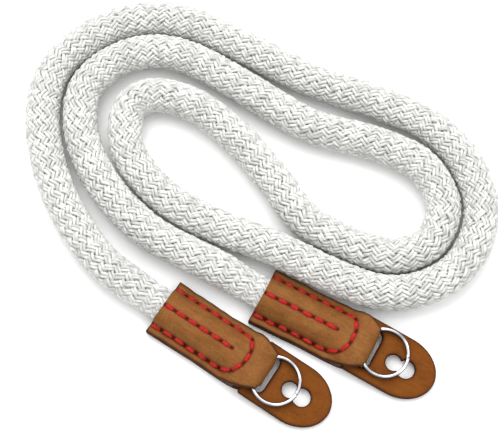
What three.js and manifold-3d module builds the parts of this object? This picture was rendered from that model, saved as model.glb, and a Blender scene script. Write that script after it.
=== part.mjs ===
// Camera neck strap: a braided rope with a stitched leather end and a split ring at each end.
// Millimetres, +Z up. The strap lies on the plane z = 0, as it would on a table.
import * as THREE from 'three';
import { mergeVertices } from 'three/addons/utils/BufferGeometryUtils.js';
import Module from 'manifold-3d';

// Rope
const ropeWidth = 12;
const ropeSides = 12;
const ropeInsideLength = 30.5;
const ropeEaseLength = 15;
const ropeMouthSize = { across: 11.0, tall: 5.4 };
const ropeEndSize = { across: 10.6, tall: 4.0 };
const ropeLongestStep = 15;
const ropeTurnPerStep = 0.35;

// Leather sheath, measured along its own axis from the mouth where the rope goes in
const leather = 1.5;
const sheathLength = 39.9;
const sheathEdgeHeight = 3.2;
const sheathMouthHeight = 9.0;
const sheathTipHeight = 7.85;
const sheathBulgeHalfWidth = 7.4;
const foldStart = 33.4;
const neckHalfWidth = 2.7;
const sheathHalfWidths = [
  { along: 0, half: 9.7 },
  { along: 8, half: 9.6 },
  { along: 18, half: 9.4 },
  { along: 27, half: 9.6 },
  { along: 32, half: 9.5 },
  { along: 35, half: 9.0 },
  { along: 37.5, half: 8.0 },
  { along: 40, half: 6.8 },
];
const sheathStations = [
  0, 3, 7, 12, 17, 22, 25, 27, 29, 30.5, 32, 33.5, 35, 36, 37, 37.8, 38.5, 39.1, 39.5, 39.75, sheathLength,
];
const topPoints = 15;

// Ring protector, a flat tongue; its back edge lies inside the sheath's fold
const protectorThickness = 1.8;
const protectorLength = 28.5;
const protectorHalfWidth = 10.0;
const protectorRounding = 12.4;
const protectorLift = 1.85;
const bridgeWidth = 2.5;
const slotLength = 4.8;
const slotHalfWidth = 6.7;
const keyholeInner = { along: 14.0, radius: 2.65 };
const keyholeOuter = { along: 18.4, radius: 3.0 };

// Split ring
const ringRadius = 7.75;
const wireWide = 1.2;
const wireTall = 0.8;
const coilOffset = 0.43;
const ringSteps = 66;
const ringGap = 0.74;
const climbEnd = 0.08;

// Clearances
const looseGap = 0.3;

// The two ends: where the mouth is and which way the axis points, then how the loose pieces lie on it
const ends = [
  { name: 'a', x: -41.5, y: 13.5, heading: -33.6 },
  { name: 'b', x: -9.2, y: 17.3, heading: -27.6 },
];
const loosePlaces = {
  a: { protectorAt: 35.35, protectorAcross: 0, protectorTurn: 0.7, ringAt: 44.0, ringAcross: -0.4, split: 43 },
  b: { protectorAt: 33.75, protectorAcross: -0.7, protectorTurn: -1.6, ringAt: 43.6, ringAcross: 0.2, split: 62 },
};

// The rope's line on the table, from the mouth of sheath a to the mouth of sheath b
const route = [
  [-41.5, 13.5], [-60.7, 27.0], [-72.3, 42.7], [-81.0, 63.3], [-83.6, 83.0], [-79.2, 98.5],
  [-62.8, 112.4], [-46.5, 116.3], [-32.8, 114.0], [-17.0, 106.3], [4.7, 94.6], [30.4, 84.4],
  [47.3, 76.4], [59.5, 62.0], [63.5, 44.0], [55.9, 26.6], [41.8, 18.3], [28.3, 17.8],
  [13.5, 23.2], [-3.1, 31.5], [-33.1, 44.6], [-47.0, 55.7], [-54.9, 69.0], [-54.0, 82.4],
  [-47.5, 87.1], [-33.7, 84.3], [-19.1, 73.2], [-5.2, 56.5], [5.2, 42.5], [27.1, 31.1],
  [36.1, 29.9], [46.3, 34.7], [51.1, 46.7], [45.0, 60.8], [31.4, 68.6], [6.9, 76.2],
  [-14.9, 90.0], [-33.4, 100.8], [-45.0, 103.8], [-57.8, 100.9], [-69.2, 90.1], [-70.2, 73.2],
  [-61.7, 54.4], [-47.4, 39.0], [-25.0, 26.3], [-9.2, 17.3],
];

const wasm = await Module();
wasm.setup();

function clamp(value, low, high) {
  return Math.min(Math.max(value, low), high);
}

function ease(value) {
  const t = clamp(value, 0, 1);
  return t * t * (3 - 2 * t);
}

// Value of a column of a table at a place along it, with straight lines between the rows
function lookUp(table, column, along) {
  const last = table.length - 1;
  if (along >= table[last].along) return table[last][column];
  const next = Math.max(table.findIndex((row) => row.along > along), 1);
  const from = table[next - 1];
  const to = table[next];
  const share = (along - from.along) / (to.along - from.along);
  return from[column] + (to[column] - from[column]) * share;
}

// Closed body through rings of equal point count, with a flat cap on both ends
function loft(rings) {
  const sides = rings[0].length;
  const points = rings.flat();
  const faces = [];
  for (let i = 0; i + 1 < rings.length; i += 1) {
    for (let j = 0; j < sides; j += 1) {
      const a = i * sides + j;
      const b = i * sides + ((j + 1) % sides);
      faces.push(a, b, b + sides, a, b + sides, a + sides);
    }
  }
  for (const [ring, flip] of [[0, true], [rings.length - 1, false]]) {
    const centre = rings[ring].reduce((sum, p) => sum.add(p), new THREE.Vector3()).divideScalar(sides);
    const hub = points.push(centre) - 1;
    for (let j = 0; j < sides; j += 1) {
      const a = ring * sides + j;
      const b = ring * sides + ((j + 1) % sides);
      if (flip) faces.push(hub, b, a);
      else faces.push(hub, a, b);
    }
  }
  const geometry = new THREE.BufferGeometry();
  geometry.setAttribute('position', new THREE.Float32BufferAttribute(points.flatMap((p) => [p.x, p.y, p.z]), 3));
  geometry.setIndex(faces);
  return geometry;
}

function solidOf(geometry) {
  const bare = geometry.clone();
  bare.deleteAttribute('normal');
  bare.deleteAttribute('uv');
  const merged = mergeVertices(bare, 1e-4);
  return new wasm.Manifold(new wasm.Mesh({
    numProp: 3,
    vertProperties: new Float32Array(merged.attributes.position.array),
    triVerts: new Uint32Array(merged.index.array),
  }));
}

function geometryOf(solid) {
  const mesh = solid.getMesh();
  const geometry = new THREE.BufferGeometry();
  geometry.setAttribute('position', new THREE.BufferAttribute(mesh.vertProperties, 3));
  geometry.setIndex(new THREE.BufferAttribute(mesh.triVerts, 1));
  return geometry;
}

// Rounded oblong outline whose flats lie on the stated width and height
function oblong(count, across, tall, power, place) {
  const grow = 0.5 / Math.cos(Math.PI / count);
  return Array.from({ length: count }, (unused, i) => {
    const angle = ((i + 0.5) / count) * 2 * Math.PI;
    const c = Math.cos(angle);
    const s = Math.sin(angle);
    const x = Math.sign(c) * Math.abs(c) ** (2 / power) * across * grow;
    const y = Math.sign(s) * Math.abs(s) ** (2 / power) * tall * grow;
    return place(x, y);
  });
}

// Size of the rope's section by distance from its very end: round outside, pressed flat in the sheath
function ropeSection(fromEnd) {
  const inside = ease(fromEnd / ropeInsideLength);
  const outside = ease((fromEnd - ropeInsideLength - 0.5) / ropeEaseLength);
  const mix = (end, mouth) => {
    const within = end + (mouth - end) * inside;
    return within + (ropeWidth - within) * outside;
  };
  const across = mix(ropeEndSize.across, ropeMouthSize.across);
  const tall = mix(ropeEndSize.tall, ropeMouthSize.tall);
  const low = (leather + looseGap) * (1 - outside);
  return { across, tall, power: 2.3 - 0.3 * outside, centre: low + tall / 2 };
}

// Point of an end's own axis, in the plane of the table
function onAxis(end, along) {
  const angle = THREE.MathUtils.degToRad(end.heading);
  return [end.x + along * Math.cos(angle), end.y + along * Math.sin(angle)];
}

function ropeCurve() {
  const flat = [
    onAxis(ends[0], ropeInsideLength),
    onAxis(ends[0], ropeInsideLength / 2),
    ...route,
    onAxis(ends[1], ropeInsideLength / 2),
    onAxis(ends[1], ropeInsideLength),
  ];
  return new THREE.CatmullRomCurve3(flat.map(([x, y]) => new THREE.Vector3(x, y, 0)), false, 'centripetal');
}

// Places along the rope, closer together where it bends and where its section changes
function ropeStations(curve, length) {
  const fine = 2400;
  const stations = [0];
  let turned = 0;
  let last = 0;
  for (let i = 1; i < fine; i += 1) {
    const before = curve.getTangentAt((i - 1) / fine);
    const after = curve.getTangentAt(i / fine);
    turned += before.angleTo(after);
    const here = (i / fine) * length;
    const fromEnd = Math.min(here, length - here);
    const easing = fromEnd > ropeInsideLength && fromEnd < ropeInsideLength + ropeEaseLength;
    const longest = easing ? ropeEaseLength / 4 : ropeLongestStep;
    if (turned > ropeTurnPerStep || here - last > longest) {
      stations.push(here);
      turned = 0;
      last = here;
    }
  }
  if (length - last < 2) stations.pop();
  return [...stations, length];
}

function ropeGeometry() {
  const curve = ropeCurve();
  curve.arcLengthDivisions = 2400;
  const length = curve.getLength();
  const up = new THREE.Vector3(0, 0, 1);
  const rings = ropeStations(curve, length).map((along) => {
    const point = curve.getPointAt(along / length);
    const side = up.clone().cross(curve.getTangentAt(along / length)).normalize();
    const section = ropeSection(Math.min(along, length - along));
    const place = (x, y) => point.clone().addScaledVector(side, x).addScaledVector(up, section.centre + y);
    return oblong(ropeSides, section.across, section.tall, section.power, place);
  });
  return loft(rings);
}

// How far the rounded fold at the tip pulls the faces in from their full height, 0 at the very tip
function foldShare(along, centre, reach, power) {
  if (along <= centre) return 1;
  return (1 - clamp((along - centre) / reach, 0, 1) ** power) ** (1 / power);
}

function sheathBody() {
  const foldRadius = sheathTipHeight / 2;
  const foldCentre = sheathLength - foldRadius;
  const rings = sheathStations.map((along) => {
    const half = lookUp(sheathHalfWidths, 'half', along);
    const crown = sheathMouthHeight + (sheathTipHeight - sheathMouthHeight) * ease(along / ropeInsideLength);
    const rise = ease((along - 27) / 8);
    const edge = sheathEdgeHeight + (sheathTipHeight - 0.7 - sheathEdgeHeight) * rise;
    const bulge = sheathBulgeHalfWidth + (half - sheathBulgeHalfWidth) * rise;
    const share = Math.max(foldShare(along, foldCentre, foldRadius, 3), 0.02);
    const level = (z) => foldRadius + (z - foldRadius) * share;
    const ring = [
      new THREE.Vector3(along, -half, level(0)),
      new THREE.Vector3(along, half, level(0)),
      new THREE.Vector3(along, half, level(edge - 0.4)),
    ];
    for (let j = 0; j < topPoints; j += 1) {
      const across = (half - 0.4) * Math.cos((j / (topPoints - 1)) * Math.PI);
      const near = clamp(1 - (Math.abs(across) / bulge) ** 2.6, 0, 1);
      ring.push(new THREE.Vector3(along, across, level(edge + (crown - edge) * near ** 0.6)));
    }
    ring.push(new THREE.Vector3(along, -half, level(edge - 0.4)));
    return ring;
  });
  return solidOf(loft(rings));
}

function ropeHollow() {
  const rings = [-1, 0, 6, 12, 18, 24, ropeInsideLength + looseGap].map((along) => {
    const section = ropeSection(ropeInsideLength - Math.max(along, 0));
    const place = (x, y) => new THREE.Vector3(along, x, section.centre + y);
    return oblong(24, section.across + 2 * looseGap, section.tall + 2 * looseGap, 2.5, place);
  });
  return solidOf(loft(rings));
}

// The space inside the fold: closed at the neck, open beside it so that the ring can pass
function foldHollow() {
  const low = leather;
  const high = sheathTipHeight - leather;
  const middle = (low + high) / 2;
  const reach = (high - low) / 2;
  const centre = sheathLength - leather - reach;
  const stations = [foldStart, centre, centre + 0.9, centre + 1.4, centre + 1.8, centre + 2.1, centre + reach];
  const rings = stations.map((along) => {
    const share = Math.max(foldShare(along, centre, reach, 4), 0.05);
    return [[-20, low], [20, low], [20, high], [-20, high]].map(([across, z]) => (
      new THREE.Vector3(along, across, middle + (z - middle) * share)
    ));
  });
  let hollow = solidOf(loft(rings));
  for (const side of [-1, 1]) {
    const box = new THREE.BoxGeometry(20, 20, high - low);
    box.translate(foldStart + 10, side * (neckHalfWidth + 10), middle);
    hollow = hollow.add(solidOf(box));
  }
  return hollow;
}

function sheathGeometry() {
  return geometryOf(sheathBody().subtract(ropeHollow()).subtract(foldHollow()));
}

// Outline of the tongue: straight back edge and sides, rounded end
function protectorShape() {
  const straight = protectorLength - protectorRounding;
  const corner = 0.6;
  const shape = new THREE.Shape();
  shape.moveTo(0, corner - protectorHalfWidth);
  shape.lineTo(corner, -protectorHalfWidth);
  shape.lineTo(straight, -protectorHalfWidth);
  shape.absellipse(straight, 0, protectorRounding, protectorHalfWidth, -Math.PI / 2, Math.PI / 2, false);
  shape.lineTo(corner, protectorHalfWidth);
  shape.lineTo(0, protectorHalfWidth - corner);
  shape.closePath();
  return shape;
}

function slotPath() {
  const round = slotLength / 2;
  const middle = bridgeWidth + round;
  const path = new THREE.Path();
  path.absarc(middle, slotHalfWidth - round, round, 0, Math.PI, false);
  path.absarc(middle, round - slotHalfWidth, round, Math.PI, 2 * Math.PI, false);
  path.closePath();
  return path;
}

// Two round holes that run into each other
function keyholePath() {
  const spacing = keyholeOuter.along - keyholeInner.along;
  const inner = keyholeInner.radius;
  const outer = keyholeOuter.radius;
  const waist = (spacing ** 2 + inner ** 2 - outer ** 2) / (2 * spacing);
  const innerAngle = Math.acos(waist / inner);
  const outerAngle = Math.acos((waist - spacing) / outer);
  const path = new THREE.Path();
  path.absarc(keyholeInner.along, 0, inner, innerAngle, 2 * Math.PI - innerAngle, false);
  path.absarc(keyholeOuter.along, 0, outer, -outerAngle, outerAngle, false);
  path.closePath();
  return path;
}

function protectorGeometry() {
  const shape = protectorShape();
  shape.holes.push(slotPath(), keyholePath());
  return new THREE.ExtrudeGeometry(shape, { depth: protectorThickness, bevelEnabled: false, curveSegments: 14 });
}

// Wire wound twice round; it climbs from the lower coil to the upper one beside its two ends
function ringGeometry(split) {
  const total = 4 * Math.PI - ringGap;
  const climbStart = 2 * Math.PI - ringGap + climbEnd;
  const start = THREE.MathUtils.degToRad(split);
  const bottom = coilOffset + wireTall / 2;
  const rings = Array.from({ length: ringSteps + 1 }, (unused, i) => {
    const turned = (i / ringSteps) * total;
    const climb = ease((turned - climbStart) / (2 * Math.PI - climbEnd - climbStart));
    const level = bottom + coilOffset * (2 * climb - 1);
    const angle = start + turned;
    const place = (x, z) => new THREE.Vector3(
      (ringRadius + x) * Math.cos(angle),
      (ringRadius + x) * Math.sin(angle),
      level + z,
    );
    return oblong(8, wireWide, wireTall, 2.6, place).reverse();
  });
  return loft(rings);
}

// From an end's own axes to the table
function endMatrix(end) {
  const turn = new THREE.Matrix4().makeRotationZ(THREE.MathUtils.degToRad(end.heading));
  return new THREE.Matrix4().makeTranslation(end.x, end.y, 0).multiply(turn);
}

// The tongue leans from the sheath's lower ply down to the table, and the ring lies on it
function protectorMatrix(end) {
  const place = loosePlaces[end.name];
  const tip = place.protectorAt + protectorLength;
  const lean = Math.atan(protectorLift / (tip - sheathLength));
  const matrix = endMatrix(end);
  matrix.multiply(new THREE.Matrix4().makeTranslation(tip, place.protectorAcross, 0));
  matrix.multiply(new THREE.Matrix4().makeRotationZ(THREE.MathUtils.degToRad(place.protectorTurn)));
  matrix.multiply(new THREE.Matrix4().makeRotationY(lean));
  return matrix.multiply(new THREE.Matrix4().makeTranslation(-protectorLength, 0, 0));
}

function ringMatrix(end) {
  const place = loosePlaces[end.name];
  const along = place.ringAt - place.protectorAt;
  const across = place.ringAcross - place.protectorAcross;
  const above = protectorThickness + looseGap;
  return protectorMatrix(end).multiply(new THREE.Matrix4().makeTranslation(along, across, above));
}

const colours = { rope: 0xd9d9d8, sheath: 0xa8713f, protector: 0x99561f, ring: 0xc4c4c8 };
const group = new THREE.Group();
group.name = 'camera neck strap';

function addPiece(name, geometry, colour, metalness, roughness) {
  const material = new THREE.MeshStandardMaterial({ color: colour, metalness, roughness });
  const mesh = new THREE.Mesh(geometry, material);
  mesh.name = name;
  group.add(mesh);
}

addPiece('rope', ropeGeometry(), colours.rope, 0, 0.85);
for (const end of ends) {
  const sheath = sheathGeometry().applyMatrix4(endMatrix(end));
  const protector = protectorGeometry().applyMatrix4(protectorMatrix(end));
  const ring = ringGeometry(loosePlaces[end.name].split).applyMatrix4(ringMatrix(end));
  addPiece(`sheath_${end.name}`, sheath, colours.sheath, 0, 0.6);
  addPiece(`protector_${end.name}`, protector, colours.protector, 0, 0.6);
  addPiece(`ring_${end.name}`, ring, colours.ring, 1, 0.25);
}

export default group;
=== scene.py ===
# Looks of the camera neck strap: braided rope, stitched leather ends, split rings, pale floor.
import math

import bpy
import numpy as np
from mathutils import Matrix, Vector
from mathutils.geometry import delaunay_2d_cdt


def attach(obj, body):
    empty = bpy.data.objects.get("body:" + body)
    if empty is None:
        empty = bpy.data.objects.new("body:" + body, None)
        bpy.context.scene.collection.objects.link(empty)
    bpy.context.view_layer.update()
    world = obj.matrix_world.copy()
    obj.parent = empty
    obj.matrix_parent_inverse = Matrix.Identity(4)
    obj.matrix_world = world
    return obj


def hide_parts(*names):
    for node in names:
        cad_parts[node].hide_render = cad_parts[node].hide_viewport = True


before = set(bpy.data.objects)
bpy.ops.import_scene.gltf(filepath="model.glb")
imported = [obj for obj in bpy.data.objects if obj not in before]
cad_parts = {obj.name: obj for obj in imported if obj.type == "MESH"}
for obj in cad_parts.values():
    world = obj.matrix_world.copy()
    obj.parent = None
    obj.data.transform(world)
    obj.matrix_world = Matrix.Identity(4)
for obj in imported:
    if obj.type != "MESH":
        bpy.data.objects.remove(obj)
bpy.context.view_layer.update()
mm = 0.001


# Shader values: arithmetic on a socket makes Math nodes
class Value:
    def __init__(self, paint, socket):
        self.paint = paint
        self.socket = socket

    def math(self, operation, *others, clamp=False):
        inputs = dict(enumerate((self,) + others))
        return self.paint.node("ShaderNodeMath", {"operation": operation, "use_clamp": clamp}, inputs)

    def __add__(self, other):
        return self.math("ADD", other)

    def __mul__(self, other):
        return self.math("MULTIPLY", other)

    __radd__ = __add__
    __rmul__ = __mul__

    def ramp(self, low, high):
        settings = {"interpolation_type": "SMOOTHSTEP", "clamp": True}
        return self.paint.node("ShaderNodeMapRange", settings, {0: self, 1: low, 2: high, 3: 0.0, 4: 1.0})

    def clip(self):
        return self.math("ADD", 0.0, clamp=True)


# One material or world; node() adds any node, with its settings, socket values and links
class Paint:
    def __init__(self, name, owners=bpy.data.materials, shader="Principled BSDF", **values):
        self.material = owners.new(name)
        self.material.use_nodes = True
        self.tree = self.material.node_tree
        self.shader = self.tree.nodes[shader]
        for key, value in values.items():
            self.set(key, value)

    def feed(self, socket, value):
        if isinstance(value, Value):
            self.tree.links.new(value.socket, socket)
        else:
            socket.default_value = value

    def set(self, key, value):
        self.feed(self.shader.inputs[key], value)

    def node(self, kind, settings, inputs, output=0):
        made = self.tree.nodes.new(kind)
        for key, value in settings.items():
            setattr(made, key, value)
        for key, value in inputs.items():
            self.feed(made.inputs[key], value)
        return Value(self, made.outputs[output])

    def uv(self, across=1.0, along=1.0):
        place = self.node("ShaderNodeTexCoord", {}, {}, "UV")
        scale = (across, along, 1.0)
        return self.node("ShaderNodeVectorMath", {"operation": "MULTIPLY"}, {0: place, 1: scale})

    def noise(self, where, scale, detail=3.0, rough=0.55):
        inputs = {"Vector": where, "Scale": scale, "Detail": detail, "Roughness": rough}
        return self.node("ShaderNodeTexNoise", {"noise_dimensions": "3D"}, inputs)

    def blend(self, share, first, second):
        settings = {"data_type": "RGBA", "clamp_factor": True}
        return self.node("ShaderNodeMix", settings, {0: share, 6: first, 7: second}, 2)

    def mask(self, channel):
        tint = self.node("ShaderNodeVertexColor", {"layer_name": "mask"}, {}, "Color")
        return self.node("ShaderNodeSeparateColor", {}, {0: tint}, channel)

    def bump(self, height, depth, strength=1.0):
        inputs = {"Height": height, "Distance": depth, "Strength": strength}
        self.set("Normal", self.node("ShaderNodeBump", {}, inputs, "Normal"))


# Mesh from points in millimetres and tables of faces, one table for each number of corners
def addMesh(name, points, faceTables, paint, uv=None, mask=None, flat=False):
    mesh = bpy.data.meshes.new(name)
    counts = np.concatenate([np.full(len(table), table.shape[1]) for table in faceTables])
    corners = np.concatenate([table.ravel() for table in faceTables]).astype(np.int32)
    starts = np.concatenate([[0], np.cumsum(counts)[:-1]]).astype(np.int32)
    mesh.vertices.add(len(points))
    mesh.vertices.foreach_set("co", (np.asarray(points) * mm).astype(np.float32).ravel())
    mesh.loops.add(len(corners))
    mesh.loops.foreach_set("vertex_index", corners)
    mesh.polygons.add(len(counts))
    mesh.polygons.foreach_set("loop_start", starts)
    mesh.polygons.foreach_set("loop_total", counts.astype(np.int32))
    mesh.polygons.foreach_set("use_smooth", np.full(len(counts), not flat))
    if uv is not None:
        layer = mesh.uv_layers.new(name="uv")
        layer.data.foreach_set("uv", np.asarray(uv, np.float32)[corners].ravel())
    if mask is not None:
        layer = mesh.color_attributes.new("mask", "FLOAT_COLOR", "POINT")
        full = np.ones((len(points), 4), np.float32)
        full[:, :3] = mask
        layer.data.foreach_set("color", full.ravel())
    mesh.update(calc_edges=True)
    mesh.validate()
    mesh.materials.append(paint.material)
    piece = bpy.data.objects.new(name, mesh)
    bpy.context.scene.collection.objects.link(piece)
    return piece


# Faces of a closed tube through rings of equal count, with both ends capped
def tubeFaces(ringCount, sides, first=0):
    i, j = np.meshgrid(np.arange(ringCount - 1), np.arange(sides), indexing="ij")
    a = first + i * sides + j
    b = first + i * sides + (j + 1) % sides
    quads = np.stack([a, b, b + sides, a + sides], axis=-1).reshape(-1, 4)
    near = first + np.arange(sides)[::-1]
    far = first + (ringCount - 1) * sides + np.arange(sides)
    return quads, np.stack([near, far])


# Many closed tubes as one set of points and tables
def joinTubes(tubes):
    quads, caps, first = [], [], 0
    for tube in tubes:
        q, c = tubeFaces(tube.shape[0], tube.shape[1], first)
        quads.append(q)
        caps.append(c)
        first += tube.shape[0] * tube.shape[1]
    points = np.concatenate([tube.reshape(-1, 3) for tube in tubes])
    return points, [np.concatenate(quads), np.concatenate(caps)]


# Smooth step from 0 to 1
def ease(value):
    t = np.clip(value, 0.0, 1.0)
    return t * t * (3.0 - 2.0 * t)


waveShares = (1.0, 0.61, 0.37)


# Three sine waves of unlike length, for slow wobbles of about one unit
def slowNoise(where, wave, source):
    total = np.zeros_like(where, dtype=float)
    for share in waveShares:
        phase = source.uniform(0, 2 * math.pi)
        total += math.sqrt(share) * np.sin(where * 2 * math.pi / (wave * share) + phase)
    return total / 1.9


# Camera at the photo's angle
camera = {"height": 71.0, "focus": (-0.0135, 0.0459, 0.0), "away": 0.4704, "lens": 101.2}
cameraData = bpy.data.cameras.new("camera")
cameraData.lens = camera["lens"]
cameraData.sensor_width = 36.0
cameraData.clip_start = 0.01
cameraData.clip_end = 20.0
cameraPiece = bpy.data.objects.new("camera", cameraData)
bpy.context.scene.collection.objects.link(cameraPiece)
rise = math.radians(camera["height"])
cameraPiece.location = (
    camera["focus"][0],
    camera["focus"][1] - camera["away"] * math.cos(rise),
    camera["focus"][2] + camera["away"] * math.sin(rise),
)
cameraPiece.rotation_euler = (math.radians(90.0) - rise, 0.0, 0.0)
bpy.context.scene.camera = cameraPiece

# The rope's line on the table in metres, the same points as the solid's, mouth to mouth
route = [
    (-0.0415, 0.0135), (-0.0607, 0.0270), (-0.0723, 0.0427), (-0.0810, 0.0633), (-0.0836, 0.0830),
    (-0.0792, 0.0985), (-0.0628, 0.1124), (-0.0465, 0.1163), (-0.0328, 0.1140), (-0.0170, 0.1063),
    (0.0047, 0.0946), (0.0304, 0.0844), (0.0473, 0.0764), (0.0595, 0.0620), (0.0635, 0.0440),
    (0.0559, 0.0266), (0.0418, 0.0183), (0.0283, 0.0178), (0.0135, 0.0232), (-0.0031, 0.0315),
    (-0.0331, 0.0446), (-0.0470, 0.0557), (-0.0549, 0.0690), (-0.0540, 0.0824), (-0.0475, 0.0871),
    (-0.0337, 0.0843), (-0.0191, 0.0732), (-0.0052, 0.0565), (0.0052, 0.0425), (0.0271, 0.0311),
    (0.0361, 0.0299), (0.0463, 0.0347), (0.0511, 0.0467), (0.0450, 0.0608), (0.0314, 0.0686),
    (0.0069, 0.0762), (-0.0149, 0.0900), (-0.0334, 0.1008), (-0.0450, 0.1038), (-0.0578, 0.1009),
    (-0.0692, 0.0901), (-0.0702, 0.0732), (-0.0617, 0.0544), (-0.0474, 0.0390), (-0.0250, 0.0263),
    (-0.0092, 0.0173),
]
ends = {
    "a": {"x": -41.5, "y": 13.5, "heading": math.radians(-33.6), "seed": 11},
    "b": {"x": -9.2, "y": 17.3, "heading": math.radians(-27.6), "seed": 23},
}
loosePlaces = {
    "a": {
        "at": 35.35, "across": 0.0, "turn": math.radians(0.7),
        "ringAt": 44.0, "ringAcross": -0.4, "split": 43.0, "foldAt": 37.7, "slot": 4.4,
    },
    "b": {
        "at": 33.75, "across": -0.7, "turn": math.radians(-1.6),
        "ringAt": 43.6, "ringAcross": 0.2, "split": 62.0, "foldAt": 36.9, "slot": 4.8,
    },
}


# Points in an end's own axes to the table: along, across, up
def toTable(end, points):
    c, s = math.cos(end["heading"]), math.sin(end["heading"])
    along, across = points[..., 0], points[..., 1]
    x = end["x"] + along * c - across * s
    y = end["y"] + along * s + across * c
    return np.stack([x, y, points[..., 2]], axis=-1)


# Rope: core tube and the yarns plaited round it
rope = {
    "width": 12.0, "inside": 30.5, "easing": 15.0, "mouth": (11.0, 5.4), "end": (10.6, 4.0), "low": 1.8,
    "coreShare": 0.74, "coreSides": 16, "coreStep": 2.5,
    "yarns": 11, "lay": 48.4, "ring": 4.82, "wave": 0.5, "crestSharp": 0.4, "tuck": 4.0,
    "pairGap": 1.04, "strandWide": 1.12, "strandTall": 1.3, "strandSides": 6, "samples": 7,
    "shadeFrom": 4.6, "shadeTo": 5.9,
}
# How far each strand strays, and over what length along the rope
stray = {
    "turn": (0.042, 14.0), "lift": (0.06, 23.0), "pair": (0.12, 7.0),
    "width": (0.12, 11.0), "height": (0.17, 5.3),
}


def strayed(kind, along, source):
    share, wave = stray[kind]
    return share * slowNoise(along, wave, source)


# Centripetal curve through the points
def smoothLine(points, steps):
    out = []
    t = (np.arange(steps) / steps)[:, None]
    last = len(points) - 1
    for i in range(last):
        before = points[i - 1] if i > 0 else 2 * points[0] - points[1]
        after = points[i + 2] if i + 2 <= last else 2 * points[-1] - points[-2]
        here, there = points[i], points[i + 1]
        hops = (here - before, there - here, after - there)
        d0, d1, d2 = [math.sqrt(np.linalg.norm(step)) for step in hops]
        t1 = ((here - before) / d0 - (there - before) / (d0 + d1) + (there - here) / d1) * d1
        t2 = ((there - here) / d1 - (after - here) / (d1 + d2) + (after - there) / d2) * d1
        c2 = 3 * (there - here) - 2 * t1 - t2
        c3 = 2 * (here - there) + t1 + t2
        out.append(here + t1 * t + c2 * t * t + c3 * t ** 3)
    out.append(points[-1:])
    return np.concatenate(out)


flatPoints = np.array(route) * 1000.0
tucked = np.array([[rope["inside"], 0, 0], [rope["inside"] / 2, 0, 0]], float)
flatPoints = np.concatenate([
    toTable(ends["a"], tucked)[:, :2], flatPoints, toTable(ends["b"], tucked[::-1])[:, :2],
])
ropeLine = smoothLine(flatPoints, 40)
ropeAlong = np.concatenate([[0], np.cumsum(np.linalg.norm(np.diff(ropeLine, axis=0), axis=1))])
ropeLength = ropeAlong[-1]
ropeHeading = np.unwrap(np.arctan2(np.gradient(ropeLine[:, 1]), np.gradient(ropeLine[:, 0])))


# Centre, sideways direction and section of the rope at places along it
def ropeFrame(along):
    x = np.interp(along, ropeAlong, ropeLine[:, 0])
    y = np.interp(along, ropeAlong, ropeLine[:, 1])
    heading = np.interp(along, ropeAlong, ropeHeading)
    fromEnd = np.minimum(along, ropeLength - along)
    inside = ease(fromEnd / rope["inside"])
    outside = ease((fromEnd - rope["inside"] - 0.5) / rope["easing"])
    sizes = []
    for end, mouth in zip(rope["end"], rope["mouth"]):
        within = end + (mouth - end) * inside
        sizes.append((within + (rope["width"] - within) * outside) / rope["width"])
    z = rope["low"] * (1 - outside) + sizes[1] * rope["width"] / 2
    side = np.stack([-np.sin(heading), np.cos(heading), 0 * heading], axis=-1)
    return np.stack([x, y, z], axis=-1), side, sizes[0], sizes[1]


# Points round the rope by angle and distance from its line, pressed flat where the rope is
def aroundRope(along, angle, radius):
    centre, side, wide, tall = ropeFrame(along)
    point = centre + side * (wide * radius * np.cos(angle))[..., None]
    point[..., 2] += tall * radius * np.sin(angle)
    return point


def buildCore():
    # The core's dark grey is painted shade, seen in the gaps between the yarns.
    paint = Paint("ropeCore", **{"Base Color": (0.32, 0.32, 0.305, 1), "Roughness": 0.95})
    count = int(ropeLength / rope["coreStep"])
    along = np.linspace(1.0, ropeLength - 1.0, count)
    angle = np.arange(rope["coreSides"]) / rope["coreSides"] * 2 * math.pi
    grid, turn = np.meshgrid(along, angle, indexing="ij")
    points = aroundRope(grid, turn, np.full(grid.shape, rope["coreShare"] * rope["width"] / 2))
    faces = tubeFaces(count, rope["coreSides"])
    core = addMesh("ropeCore", points.reshape(-1, 3), [faces[0][:, ::-1], faces[1][:, ::-1]], paint)
    return core, ropeFrame(along)[0] * mm


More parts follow.
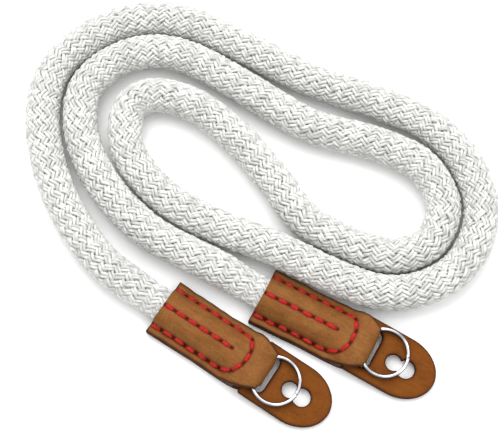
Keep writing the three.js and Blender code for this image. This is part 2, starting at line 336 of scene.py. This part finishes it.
# The two strands of one yarn, side by side, as it dips under and climbs over the other hand's yarns
def yarnStrands(hand, index, source):
    step = rope["lay"] / rope["yarns"] / rope["samples"]
    start = rope["inside"] - rope["tuck"]
    along = np.arange(start, ropeLength - start, step)
    cycle = 2 * math.pi * along / (rope["lay"] / rope["yarns"])
    angle = 2 * math.pi * (index / rope["yarns"] + hand * along / rope["lay"])
    angle = angle + strayed("turn", along, source)
    over = hand * np.cos(cycle)
    over = (1 + rope["crestSharp"]) * over / (rope["crestSharp"] + np.abs(over))
    radius = rope["ring"] + rope["wave"] * over + strayed("lift", along, source)
    line = aroundRope(along, angle, radius)
    outward = line - ropeFrame(along)[0]
    tangent = np.gradient(line, axis=0)
    tangent /= np.linalg.norm(tangent, axis=1)[:, None]
    outward -= tangent * (outward * tangent).sum(1)[:, None]
    outward /= np.linalg.norm(outward, axis=1)[:, None]
    across = np.cross(outward, tangent)
    turn = (np.arange(rope["strandSides"]) + 0.5) / rope["strandSides"] * 2 * math.pi
    strands = []
    for side in (-1, 1):
        middle = side * rope["pairGap"] / 2 + strayed("pair", along, source)
        wide = rope["strandWide"] / 2 * (1 + strayed("width", along, source))
        x = middle[:, None] + wide[:, None] * np.cos(turn)
        y = rope["strandTall"] / 2 * np.sin(turn)[None] - middle[:, None] ** 2 / (2 * rope["ring"])
        y = y + strayed("height", along, source)[:, None]
        tube = line[:, None] + across[:, None] * x[..., None] + outward[:, None] * y[..., None]
        places = np.broadcast_arrays(along[:, None] + 300 * index + 150 * side, 3.5 * turn / (2 * math.pi))
        uv = np.stack([places[0] + 4000 * (hand > 0), places[1]], axis=-1)
        # Painted light and shade: lighter on each yarn's crest, painted shade on its flanks and where it
        # dips under the other hand's yarns.
        paintedCrestLight = ease((radius[:, None] + y - rope["shadeFrom"]) / (rope["shadeTo"] - rope["shadeFrom"]))
        mask = np.stack([paintedCrestLight, 0 * paintedCrestLight, 0 * paintedCrestLight], axis=-1)
        strands.append((tube, uv.reshape(-1, 2), mask.reshape(-1, 3)))
    return strands


def yarnPaint():
    paint = Paint("yarn", Roughness=0.72)
    fibre = paint.noise(paint.uv(0.55, 6.0), 1.0, 2.0)
    blotch = paint.noise(paint.uv(0.42, 0.3), 1.0, 1.0)
    shade = (fibre * 0.3 + blotch * 0.7).ramp(0.38, 0.58)
    bright = paint.blend(shade, (0.52, 0.52, 0.5, 1), (0.75, 0.75, 0.73, 1))
    # Painted shade: mask 0 takes the yarn from its bright tone down to grey where it lies low.
    paint.set("Base Color", paint.blend(paint.mask(0), (0.47, 0.47, 0.452, 1), bright))
    paint.bump(fibre, 0.00022)
    return paint


core, corePath = buildCore()
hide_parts("rope")
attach(core, "root")
mouth = toTable(ends["a"], np.array([3.0, 0.0, 4.5])) * mm
yarnLook = yarnPaint()
for group in range(6):
    hand = 1 if group % 2 else -1
    members = np.array_split(np.arange(rope["yarns"]), 3)[group // 2]
    strands = []
    for index in members:
        strands += yarnStrands(hand, index, np.random.RandomState(100 * group + index))
    tubes, uvs, masks = zip(*strands)
    points, tables = joinTubes(tubes)
    yarns = addMesh(f"yarns{group + 1}", points, tables, yarnLook, uv=np.concatenate(uvs),
                    mask=np.concatenate(masks))
    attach(yarns, "root")

# Leather sheaths
sheath = {
    "leather": 1.5, "length": 39.9, "mouthHeight": 9.0, "tipHeight": 7.85, "edgeHeight": 3.2,
    "bulge": 7.4, "wallFrom": 31.0, "wallTo": 33.4, "rows": 96, "columns": 64,
    "seamAcross": 7.0, "seamTurn": 27.5, "seamTip": 33.0, "seamCurve": 2.5,
    "mouthCut": 1.0, "mouthCutReach": 8.0, "lowerLength": 38.3, "edgeWave": 0.12, "faceWave": 0.1,
    "riseFrom": 27.0, "riseReach": 8.0, "tipDip": 0.7, "pressedFrom": 6.3, "plyGap": 0.05,
}
stitch = {
    "pitch": 4.45, "share": 0.7, "wide": 1.4, "tall": 0.8, "sunk": 0.8, "rise": 0.75,
    "stray": 0.12, "pull": 0.03, "pullStray": 0.02, "rows": 11, "sides": 10,
}
halfWidths = np.array([
    (0, 9.7), (8, 9.6), (18, 9.4), (27, 9.6), (32, 9.5), (35, 9.0), (37.5, 8.0), (40, 6.8), (41, 6.5),
])


def halfWidth(along):
    return np.interp(along, halfWidths[:, 0], halfWidths[:, 1])


# Height of the upper ply's face: a bulge over the rope that flattens towards the tip
def topHeight(along, across):
    rise = ease((along - sheath["riseFrom"]) / sheath["riseReach"])
    edge = sheath["edgeHeight"] + (sheath["tipHeight"] - sheath["tipDip"] - sheath["edgeHeight"]) * rise
    fall = ease(along / rope["inside"])
    crown = sheath["mouthHeight"] + (sheath["tipHeight"] - sheath["mouthHeight"]) * fall
    bulge = sheath["bulge"] + (halfWidth(along) - sheath["bulge"]) * rise
    near = np.clip(1 - (np.abs(across) / bulge) ** 3.0, 0, 1) ** 1.15
    return edge + (crown - edge) * near


# Seam line: down one side, round the rope's end, back up the other
def seamLine(step=0.1):
    side = np.arange(0, sheath["seamTurn"], step)
    turn = np.linspace(math.pi / 2, -math.pi / 2, 200)
    reach = sheath["seamTip"] - sheath["seamTurn"]
    x = sheath["seamTurn"] + reach * np.cos(turn) ** (2 / sheath["seamCurve"])
    y = sheath["seamAcross"] * np.sign(np.sin(turn)) * np.abs(np.sin(turn)) ** (2 / sheath["seamCurve"])
    upper = np.stack([side, np.full_like(side, sheath["seamAcross"])], axis=-1)
    lower = np.stack([side[::-1], np.full_like(side, -sheath["seamAcross"])], axis=-1)
    return np.concatenate([upper, np.stack([x, y], axis=-1), lower])


def holesAlong(line, pitch):
    along = np.concatenate([[0], np.cumsum(np.linalg.norm(np.diff(line, axis=0), axis=1))])
    count = max(int(round(along[-1] / pitch)), 1)
    places = np.linspace(0, along[-1], count + 1)
    return np.stack([np.interp(places, along, line[:, k]) for k in range(2)], axis=-1)


seam = seamLine()
middleRow = np.array([[1.0, -0.3], [27.2, 0.0]])
seamHoles = [holesAlong(seam, stitch["pitch"]), holesAlong(middleRow, stitch["pitch"])]


# Points of the gap between two stitches, a little before and after each hole
def gapPoints(line, holes):
    places = []
    for hole in holes:
        near = np.linalg.norm(line - hole, axis=1) < stitch["pitch"] * (1 - stitch["share"]) / 2
        places.append(line[near][::2])
    return np.concatenate(places)


# Distance from each point to the nearest target, in short batches
def nearest(points, targets):
    best = np.full(len(points), 1e9)
    for start in range(0, len(targets), 64):
        part = targets[start:start + 64]
        gap = np.sqrt(((points[:, None] - part[None]) ** 2).sum(-1)).min(1)
        best = np.minimum(best, gap)
    return best


middleLine = np.linspace(middleRow[0], middleRow[1], 270)
seamCoarse = np.concatenate([seam[::4], middleLine[::4]])
allHoles = np.concatenate([gapPoints(seam, seamHoles[0]), gapPoints(middleLine, seamHoles[1])])
sunk = {"line": 0.35, "lineWide": 0.8, "hole": 0.3, "holeWide": 0.5, "lineTint": 0.75, "holeTint": 0.62}


# Distance fields round the seam and its holes: how far the face sinks, and the masks; the mask round the
# holes is painted shade in them
def seamFields(flat):
    line = nearest(flat, seamCoarse)
    hole = nearest(flat, allHoles)
    sink = sunk["line"] * np.exp(-(line / sunk["lineWide"]) ** 2)
    sink = sink + sunk["hole"] * np.exp(-(hole / sunk["holeWide"]) ** 2)
    return sink, np.exp(-(line / sunk["lineTint"]) ** 2), np.exp(-(hole / sunk["holeTint"]) ** 4)


# Fold at the tip: round in the middle, nearly flat at both corners where the ring comes out
fold = {
    "reach": 3.2, "cornerReach": 2.9, "cornerDrop": 0.6, "half": 5.6, "blend": 1.4,
    "rows": 22, "wall": 1.15, "cornerWall": 0.85, "bandHalf": 4.4, "bandTop": 4.8,
}


# Upper ply: flat rows up to the fold, then rows round it
def upperPly(end, start):
    source = np.random.RandomState(end["seed"])
    across = np.linspace(-1, 1, sheath["columns"])[None]
    flatRows = np.linspace(0, start, sheath["rows"])[:, None]
    t = (np.arange(1, fold["rows"] + 1) / fold["rows"])[:, None]
    nominal = np.concatenate([flatRows, start + t * fold["cornerReach"]])
    t = np.concatenate([0 * flatRows, t])
    wavy = sheath["edgeWave"] * slowNoise(nominal, 13.0, source) * np.abs(across)
    v = across * (halfWidth(nominal) + wavy)
    curl = ease((fold["half"] - np.abs(v)) / fold["blend"])
    quarter = t * math.pi / 2
    reach = (1 - curl) * fold["cornerReach"] * t + curl * fold["reach"] * np.sin(quarter)
    drop = (1 - curl) * fold["cornerDrop"] * t ** 2 + curl * fold["reach"] * (1 - np.cos(quarter))
    middle = np.clip(1 - (v / sheath["bulge"]) ** 2, 0, 1)
    cut = sheath["mouthCut"] * middle * np.clip(1 - nominal / sheath["mouthCutReach"], 0, 1)
    along = np.where(t > 0, start + reach, nominal + cut)
    flat = np.stack([along.ravel(), v.ravel()], axis=-1)
    sink, line, hole = [field.reshape(along.shape) for field in seamFields(flat)]
    wave = sheath["faceWave"] * slowNoise(nominal + 0.7 * v, 11.0, source)
    top = topHeight(np.minimum(along, start), v) + wave - drop
    outside = (np.abs(v) > sheath["pressedFrom"]) | (along > sheath["wallFrom"])
    pressed = outside & (along < sheath["wallTo"])
    under = np.where(pressed, sheath["leather"] + sheath["plyGap"], top - sheath["leather"])
    slopeX, slopeZ = np.gradient(along, axis=0), np.gradient(top, axis=0)
    steep = np.hypot(slopeX, slopeZ)
    foldWall = fold["cornerWall"] + (fold["wall"] - fold["cornerWall"]) * curl
    wall = sheath["leather"] + (foldWall - sheath["leather"]) * t
    lowAlong = np.where(t > 0, along + wall * slopeZ / steep, along)
    lowHeight = np.where(t > 0, top - wall * slopeX / steep, under)
    farAway = 9.0
    rim = np.minimum(along, (1 - t) * fold["cornerReach"] + farAway * curl + farAway * (t == 0))
    upper = np.stack([along, v, top - sink], axis=-1)
    return plyMesh(upper, np.stack([lowAlong, v, lowHeight], axis=-1), line, hole, rim)


def lowerPly():
    across = np.linspace(-1, 1, 24)[None]
    along = np.linspace(0, 1, 40)[:, None] * (sheath["lowerLength"] + across ** 2)
    v = across * halfWidth(along)
    along, v = np.broadcast_arrays(along, v)
    none = np.zeros(along.shape)
    top = np.stack([along, v, none + sheath["leather"] - 0.02], axis=-1)
    return plyMesh(top, np.stack([along, v, none], axis=-1), none, none, along)


# A slab between two grids, with rounded rims; one closed ring for each row
def plyMesh(top, low, line, hole, rimAlong):
    rimDrop, wallDrop, wallRise, wallOut, rimWide = 0.12, 0.45, 0.35, 0.22, 0.5
    rings, masks = [], []
    up, out = np.array([0.0, 0.0, 1.0]), np.array([0.0, wallOut, 0.0])
    for i in range(top.shape[0]):
        a, b = top[i].copy(), low[i]
        a[[0, -1], 2] -= rimDrop
        right = [a[-1] + out - wallDrop * up, b[-1] + out + wallRise * up]
        left = [b[0] - out + wallRise * up, a[0] - out - wallDrop * up]
        edge = np.minimum(np.abs(a[:, 1] - a[0, 1]), np.abs(a[:, 1] - a[-1, 1]))
        rim = np.exp(-(np.minimum(edge, rimAlong[i]) / rimWide) ** 1.5)
        wall = np.ones(len(b) + 4)
        rings.append(np.concatenate([a, right, b[::-1], left]))
        masks.append(np.stack([
            np.concatenate([rim, wall]),
            np.concatenate([hole[i], 0 * wall]),
            np.concatenate([line[i], 0 * wall]),
        ], axis=-1))
    return np.array(rings), np.array(masks)


# The fold's lower half: down the front of the tip and back under the tongue to the lower ply
def foldBand(start):
    turn = np.linspace(0, math.pi / 2, 14)
    rings = []
    for depth in (0.0, fold["wall"]):
        radius = fold["reach"] - depth
        x = np.concatenate([[start + radius], start + radius * np.cos(turn)])
        z = np.concatenate([[fold["bandTop"]], fold["reach"] - radius * np.sin(turn)])
        rings.append(np.stack([x, z], axis=-1))
    outer, inner = rings
    half = fold["bandHalf"]
    corners = [(outer, -half), (outer, 0.0), (outer, half), (inner, half), (inner, 0.0), (inner, -half)]
    lines = [np.stack([p[:, 0], np.full(len(p), v), p[:, 1]], axis=-1) for p, v in corners]
    return np.stack(lines, axis=1)


def leatherPaint(name, light, dark, warm, rimColour, seamColour):
    paint = Paint(name, **{"Specular IOR Level": 0.07})
    place = paint.uv(1.0, 1.0)
    cloud = paint.noise(place, 0.16, 4.0, 0.6)
    grain = paint.noise(place, 1.6, 4.0, 0.65)
    scuff = paint.noise(paint.uv(0.35, 1.5), 0.7, 3.0, 0.6)
    tint = paint.noise(place, 0.3, 3.0, 0.7)
    shade = (cloud * 0.4 + scuff * 0.25 + grain * 0.35).ramp(0.39, 0.61)
    colour = paint.blend(shade, dark, light)
    colour = paint.blend(tint.ramp(0.42, 0.62) * 0.6, colour, warm)
    colour = paint.blend(paint.mask(2) * 0.45, colour, seamColour)
    # Mask 1 is painted shade in the stitch holes: nearly black where the thread goes in.
    colour = paint.blend(paint.mask(1) * 0.95, colour, (0.05, 0.003, 0.0025, 1))
    colour = paint.blend((paint.mask(0) * (0.75 + grain * 0.5)).clip(), colour, rimColour)
    paint.set("Base Color", colour)
    paint.set("Roughness", 0.45 + grain * 0.25)
    paint.bump(grain * 0.6 + cloud * 0.4, 0.00025)
    return paint


def buildSheath(name, end, start, paint):
    points, quads, caps, uvs, masks = [], [], {}, [], []
    first = 0
    band = foldBand(start)
    # The fold's lower band is darkened partway towards the rim colour: painted shade where the fold turns
    # down under the tip.
    parts = [upperPly(end, start), lowerPly(), (band, np.full(band.shape, [0.3, 0, 0]))]
    for rings, mask in parts:
        q, c = tubeFaces(rings.shape[0], rings.shape[1], first)
        quads.append(q[:, ::-1])
        caps.setdefault(rings.shape[1], []).append(c[:, ::-1])
        first += rings.shape[0] * rings.shape[1]
        flat = rings.reshape(-1, 3)
        uvs.append(flat[:, :2] + 60 * end["seed"])
        points.append(toTable(end, flat))
        masks.append(mask.reshape(-1, 3))
    tables = [np.concatenate(quads)] + [np.concatenate(c) for c in caps.values()]
    uv, mask = np.concatenate(uvs), np.concatenate(masks)
    return addMesh(name, np.concatenate(points), tables, paint, uv=uv, mask=mask)


# Thread: one short arched strand for each stitch
def stitchTube(first, second):
    t = np.linspace(0, 1, stitch["rows"])
    flat = first + (second - first) * t[:, None]
    arch = np.sin(np.pi * t) ** 0.4
    z = topHeight(flat[:, 0], flat[:, 1]) - stitch["sunk"] + stitch["rise"] * arch
    line = np.column_stack([flat, z])
    forward = np.append((second - first) / np.linalg.norm(second - first), 0)
    side = np.array([-forward[1], forward[0], 0])
    radius = stitch["wide"] / 2 * (0.7 + 0.3 * np.sin(np.pi * t) ** 0.5)
    turn = np.arange(stitch["sides"]) / stitch["sides"] * 2 * math.pi
    ring = np.cos(turn)[:, None] * side + np.sin(turn)[:, None] * np.array([0, 0, stitch["tall"]])
    return line[:, None] + radius[:, None, None] * ring[None]


def buildStitches(name, end, paint):
    tubes, uvs = [], []
    source = np.random.RandomState(end["seed"] + 5)
    for holes in seamHoles:
        for first, second in zip(holes[:-1], holes[1:]):
            jitter = source.normal(0, stitch["stray"], 2)
            bare = (1 - stitch["share"]) / 2 - stitch["pull"] + stitch["pullStray"] * source.normal()
            gap = (second - first) * bare
            tube = stitchTube(first + gap + jitter * 0.5, second - gap + jitter)
            tubes.append(toTable(end, tube))
            length = np.linspace(0, 4, tube.shape[0])[:, None] + source.uniform(0, 90)
            places = np.broadcast_arrays(length, np.linspace(0, 3, tube.shape[1])[None])
            uvs.append(np.stack(places, axis=-1).reshape(-1, 2))
    points, tables = joinTubes(tubes)
    return addMesh(name, points, tables, paint, uv=np.concatenate(uvs))


tan = leatherPaint(
    "tanLeather", light=(0.235, 0.1, 0.026, 1), dark=(0.145, 0.056, 0.014, 1),
    warm=(0.21, 0.068, 0.018, 1), rimColour=(0.042, 0.013, 0.005, 1), seamColour=(0.13, 0.017, 0.007, 1),
)
thread = Paint("redThread", **{"Roughness": 0.6, "Specular IOR Level": 0.2})
strand = thread.noise(thread.uv(1.2, 2.0), 1.0, 2.0)
darkRed, lightRed = (0.24, 0.005, 0.005, 1), (0.46, 0.013, 0.011, 1)
thread.set("Base Color", thread.blend(strand.ramp(0.35, 0.65), darkRed, lightRed))
thread.bump(strand, 0.0002)
for key, end in ends.items():
    cover = buildSheath(f"sheathLeather{key.upper()}", end, loosePlaces[key]["foldAt"], tan)
    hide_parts(f"sheath_{key}")
    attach(cover, "root")
    stitches = buildStitches(f"stitches{key.upper()}", end, thread)
    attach(stitches, "root")
print("stage: sheaths and stitches built")

# Ring protectors
tongue = {
    "length": 28.5, "half": 10.0, "rounding": 12.4, "thick": 1.8, "lift": 1.85, "bridge": 2.5,
    "slotHalf": 6.7, "inner": (14.0, 2.65), "outer": (18.4, 3.0), "round": 0.45, "spacing": 0.8,
    "insets": (0.12, 0.28, 0.5, 0.9, 1.3), "closest": 0.11, "offCut": 0.1, "corner": 0.6,
    "rimWide": 0.5, "slotRim": 0.8,
}


# The tongue leans from the sheath down to the table, and the ring lies on it
def tongueMatrix(key, points):
    end, place = ends[key], loosePlaces[key]
    tip = place["at"] + tongue["length"]
    lean = math.atan(tongue["lift"] / (tip - sheath["length"]))
    p = points[..., 0] - tongue["length"]
    x = p * math.cos(lean) + points[..., 2] * math.sin(lean)
    z = -p * math.sin(lean) + points[..., 2] * math.cos(lean)
    c, s = math.cos(place["turn"]), math.sin(place["turn"])
    across = points[..., 1]
    turned = [tip + x * c - across * s, place["across"] + x * s + across * c, z]
    return toTable(end, np.stack(turned, axis=-1))


def tongueOutline():
    straight = tongue["length"] - tongue["rounding"]
    half = tongue["half"]
    turn = np.linspace(-math.pi / 2, math.pi / 2, 64)
    tip = np.stack([straight + tongue["rounding"] * np.cos(turn), half * np.sin(turn)], axis=-1)
    corner = tongue["corner"]
    side = np.linspace(corner, straight, 24)[:-1]
    back = np.linspace(half - corner, corner - half, 24)
    lower = np.stack([side, np.full_like(side, -half)], axis=-1)
    upper = np.stack([side[::-1], np.full_like(side, half)], axis=-1)
    return np.concatenate([lower, tip, upper, np.stack([0 * back, back], axis=-1)])


def slotOutline(wide):
    r = wide / 2
    middle = tongue["bridge"] + r
    turn = np.linspace(0, math.pi, 16)
    upper = np.stack([middle + r * np.cos(turn), tongue["slotHalf"] - r + r * np.sin(turn)], axis=-1)
    return np.concatenate([upper, np.stack([2 * middle - upper[:, 0], -upper[:, 1]], axis=-1)])


def keyholeOutline():
    (a, inner), (b, outer) = tongue["inner"], tongue["outer"]
    spacing = b - a
    waist = (spacing ** 2 + inner ** 2 - outer ** 2) / (2 * spacing)
    small, large = math.acos(waist / inner), math.acos((waist - spacing) / outer)
    first = np.linspace(small, 2 * math.pi - small, 28)
    second = np.linspace(-large, large, 32)[1:-1]
    return np.concatenate([
        np.stack([a + inner * np.cos(first), inner * np.sin(first)], axis=-1),
        np.stack([b + outer * np.cos(second), outer * np.sin(second)], axis=-1),
    ])


# Which points lie inside a closed outline
def insideLoop(points, loop):
    x, y = points[:, :1], points[:, 1:]
    a, b = loop, np.roll(loop, -1, axis=0)
    crosses = (a[:, 1] > y) != (b[:, 1] > y)
    slope = (b[:, 0] - a[:, 0]) / np.where(b[:, 1] == a[:, 1], 1e-9, b[:, 1] - a[:, 1])
    return (crosses & (x < a[:, 0] + (y - a[:, 1]) * slope)).sum(1) % 2 == 1


# Distance from each point to a closed outline
def loopDistance(points, loop):
    a, b = loop, np.roll(loop, -1, axis=0)
    step = b - a
    t = (((points[:, None] - a) * step).sum(-1) / (step ** 2).sum(-1)).clip(0, 1)
    return np.linalg.norm(points[:, None] - a - t[..., None] * step, axis=-1).min(1)


# Flat triangulated net of the tongue, finer near every cut edge so that the edges can be rounded
def tongueNet(key):
    loops = [tongueOutline(), slotOutline(loosePlaces[key]["slot"]), keyholeOutline()]
    half, spacing = tongue["half"], tongue["spacing"]
    x, y = np.meshgrid(np.arange(0, tongue["length"], spacing), np.arange(-half, half + 0.1, spacing))
    grid = np.stack([x.ravel(), y.ravel()], axis=-1)
    bands = []
    for loop in loops:
        forward = np.roll(loop, -1, axis=0) - np.roll(loop, 1, axis=0)
        normal = np.stack([-forward[:, 1], forward[:, 0]], axis=-1)
        normal /= np.linalg.norm(normal, axis=1)[:, None]
        for inset in tongue["insets"]:
            for sign in (-1, 1):
                bands.append(loop + sign * inset * normal)
    extra = np.concatenate([grid] + bands)
    keep = insideLoop(extra, loops[0]) & ~insideLoop(extra, loops[1]) & ~insideLoop(extra, loops[2])
    extra = extra[keep]
    gap = np.minimum.reduce([loopDistance(extra, loop) for loop in loops])
    clear = gap > tongue["offCut"]
    extra, gap = extra[clear], gap[clear]
    chosen = []
    for point in extra[np.argsort(gap)]:
        if not chosen or np.min(np.linalg.norm(np.array(chosen) - point, axis=1)) > tongue["closest"]:
            chosen.append(point)
    points = np.concatenate(loops + [np.array(chosen)])
    edges, first = [], 0
    for loop in loops:
        index = first + np.arange(len(loop))
        edges += list(zip(index.tolist(), np.roll(index, -1).tolist()))
        first += len(loop)
    result = delaunay_2d_cdt([Vector(p) for p in points.tolist()], edges, [], 0, 1e-5)
    flat = np.array([tuple(v) for v in result[0]])
    faces = np.array([f for f in result[2] if len(f) == 3])
    middle = flat[faces].mean(1)
    keep = insideLoop(middle, loops[0]) & ~insideLoop(middle, loops[1]) & ~insideLoop(middle, loops[2])
    return flat, faces[keep], loops


def buildTongue(name, key, paint, net):
    flat, faces, loops = net
    gap = np.minimum.reduce([loopDistance(flat, loop) for loop in loops])
    r = tongue["round"]
    drop = r - np.sqrt(np.clip(r ** 2 - np.clip(r - gap, 0, r) ** 2, 0, None))
    top = np.column_stack([flat, tongue["thick"] - drop])
    low = np.column_stack([flat, drop])
    count = len(flat)
    directed = np.concatenate([faces[:, [0, 1]], faces[:, [1, 2]], faces[:, [2, 0]]])
    seen = {tuple(e) for e in directed.tolist()}
    rim = np.array([e for e in seen if (e[1], e[0]) not in seen])
    walls = np.column_stack([rim[:, 1], rim[:, 0], rim[:, 0] + count, rim[:, 1] + count])
    points = np.concatenate([top, low])
    slotEdge = np.exp(-(loopDistance(flat, loops[1]) / tongue["slotRim"]) ** 2)
    edge = np.maximum(np.exp(-(gap / tongue["rimWide"]) ** 1.4), slotEdge)
    mask = np.zeros((2 * count, 3))
    mask[:, 0] = np.tile(edge, 2)
    uv = np.tile(flat, (2, 1)) + 37 * ends[key]["seed"]
    tables = [np.concatenate([faces, faces[:, ::-1] + count]), walls]
    return addMesh(name, tongueMatrix(key, points), tables, paint, uv=uv, mask=mask)


# Split rings: wire wound twice, climbing from one coil to the other beside its two ends
wire = {
    "radius": 7.75, "wide": 1.2, "tall": 0.84, "offset": 0.43, "gap": 0.74, "climbEnd": 0.08,
    "steps": 220, "sides": 16, "squareness": 0.75, "above": 0.3,
    "tipShare": 0.35, "tipReach": 0.08, "shineFrom": 0.72, "shineWave": 1.7, "shineLeast": 0.25,
}


def buildRing(name, key, paint):
    place = loosePlaces[key]
    total = 4 * math.pi - wire["gap"]
    climbStart = 2 * math.pi - wire["gap"] + wire["climbEnd"]
    t = np.linspace(0, total, wire["steps"] + 1)
    climb = ease((t - climbStart) / (2 * math.pi - wire["climbEnd"] - climbStart))
    level = wire["offset"] + wire["tall"] / 2 + wire["offset"] * (2 * climb - 1)
    angle = math.radians(place["split"]) + t
    turn = np.arange(wire["sides"]) / wire["sides"] * 2 * math.pi
    c, s = np.cos(turn), np.sin(turn)
    x = np.sign(c) * np.abs(c) ** wire["squareness"] * wire["wide"] / 2
    z = np.sign(s) * np.abs(s) ** wire["squareness"] * wire["tall"] / 2
    taper = np.minimum(1, wire["tipShare"] + np.minimum(t, total - t) / wire["tipReach"])[:, None]
    reach = wire["radius"] + x[None] * taper
    across = [reach * np.cos(angle)[:, None], reach * np.sin(angle)[:, None]]
    points = np.stack(across + [level[:, None] + z[None] * taper], axis=-1)
    points += np.array([
        place["ringAt"] - place["at"],
        place["ringAcross"] - place["across"],
        tongue["thick"] + wire["above"],
    ])
    faces = tubeFaces(points.shape[0], points.shape[1])
    # Painted highlight: the top of the wire is light and its sides dark, the highlight's strength wobbling
    # round the ring.
    source = np.random.RandomState(ends[key]["seed"] + 9)
    shine = np.clip(0.75 + 0.4 * slowNoise(t, wire["shineWave"], source), wire["shineLeast"], 1)
    crown = (shine[:, None] * ease((s - wire["shineFrom"]) / (1 - wire["shineFrom"]))[None]).reshape(-1)
    points = tongueMatrix(key, points).reshape(-1, 3)
    mask = np.stack([crown, 0 * crown, 0 * crown], axis=-1)
    return addMesh(name, points, [faces[0][:, ::-1], faces[1][:, ::-1]], paint, mask=mask)


brown = leatherPaint(
    "brownLeather", light=(0.18, 0.056, 0.006, 1), dark=(0.118, 0.033, 0.0035, 1),
    warm=(0.166, 0.045, 0.005, 1), rimColour=(0.03, 0.007, 0.003, 1), seamColour=(0.1, 0.03, 0.01, 1),
)
steel = Paint("polishedSteel", **{"Metallic": 1.0, "Roughness": 0.16})
# Painted highlight on the wire's top and painted dark reflection on its sides, carried by mask 0.
steel.set("Base Color", steel.blend(steel.mask(0), (0.07, 0.065, 0.07, 1), (0.85, 0.84, 0.86, 1)))
for key in ends:
    guard = buildTongue(f"protectorLeather{key.upper()}", key, brown, tongueNet(key))
    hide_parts(f"protector_{key}")
    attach(guard, "root")
    loop = buildRing(f"splitRing{key.upper()}", key, steel)
    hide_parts(f"ring_{key}")
    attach(loop, "root")
print("stage: protectors and rings built")

# Floor and light
floorPaint = Paint("floor", **{"Base Color": (0.92, 0.92, 0.92, 1), "Roughness": 0.9})
size, below = 1500.0, -0.02
corners = np.array([(-size, -size, below), (size, -size, below), (size, size, below), (-size, size, below)])
floor = addMesh("floor", corners, [np.array([[0, 1, 2, 3]])], floorPaint, flat=True)

lamps = [
    {"name": "topLamp", "at": (-0.15, 0.5, 0.8), "size": 0.9, "power": 7.5},
    {"name": "sideLamp", "at": (0.7, 0.0, 0.7), "size": 0.5, "power": 1.5},
]
for lamp in lamps:
    data = bpy.data.lights.new(lamp["name"], "AREA")
    data.energy = lamp["power"]
    data.size = lamp["size"]
    piece = bpy.data.objects.new(lamp["name"], data)
    piece.location = lamp["at"]
    toPart = Vector((0, 0.04, 0)) - Vector(lamp["at"])
    piece.rotation_euler = toPart.to_track_quat("-Z", "Y").to_euler()
    bpy.context.scene.collection.objects.link(piece)
sky = Paint("studio", bpy.data.worlds, "Background", Color=(1, 1, 1, 1))
aim = sky.node("ShaderNodeTexCoord", {}, {}, "Generated")
up = sky.node("ShaderNodeSeparateXYZ", {}, {0: aim}, "Z")
sky.set("Strength", 0.72 + up.ramp(0.0, 0.8) * 0.45)
bpy.context.scene.world = sky.material
bpy.context.scene.view_settings.view_transform = "Standard"
print("stage: floor and lamps set")
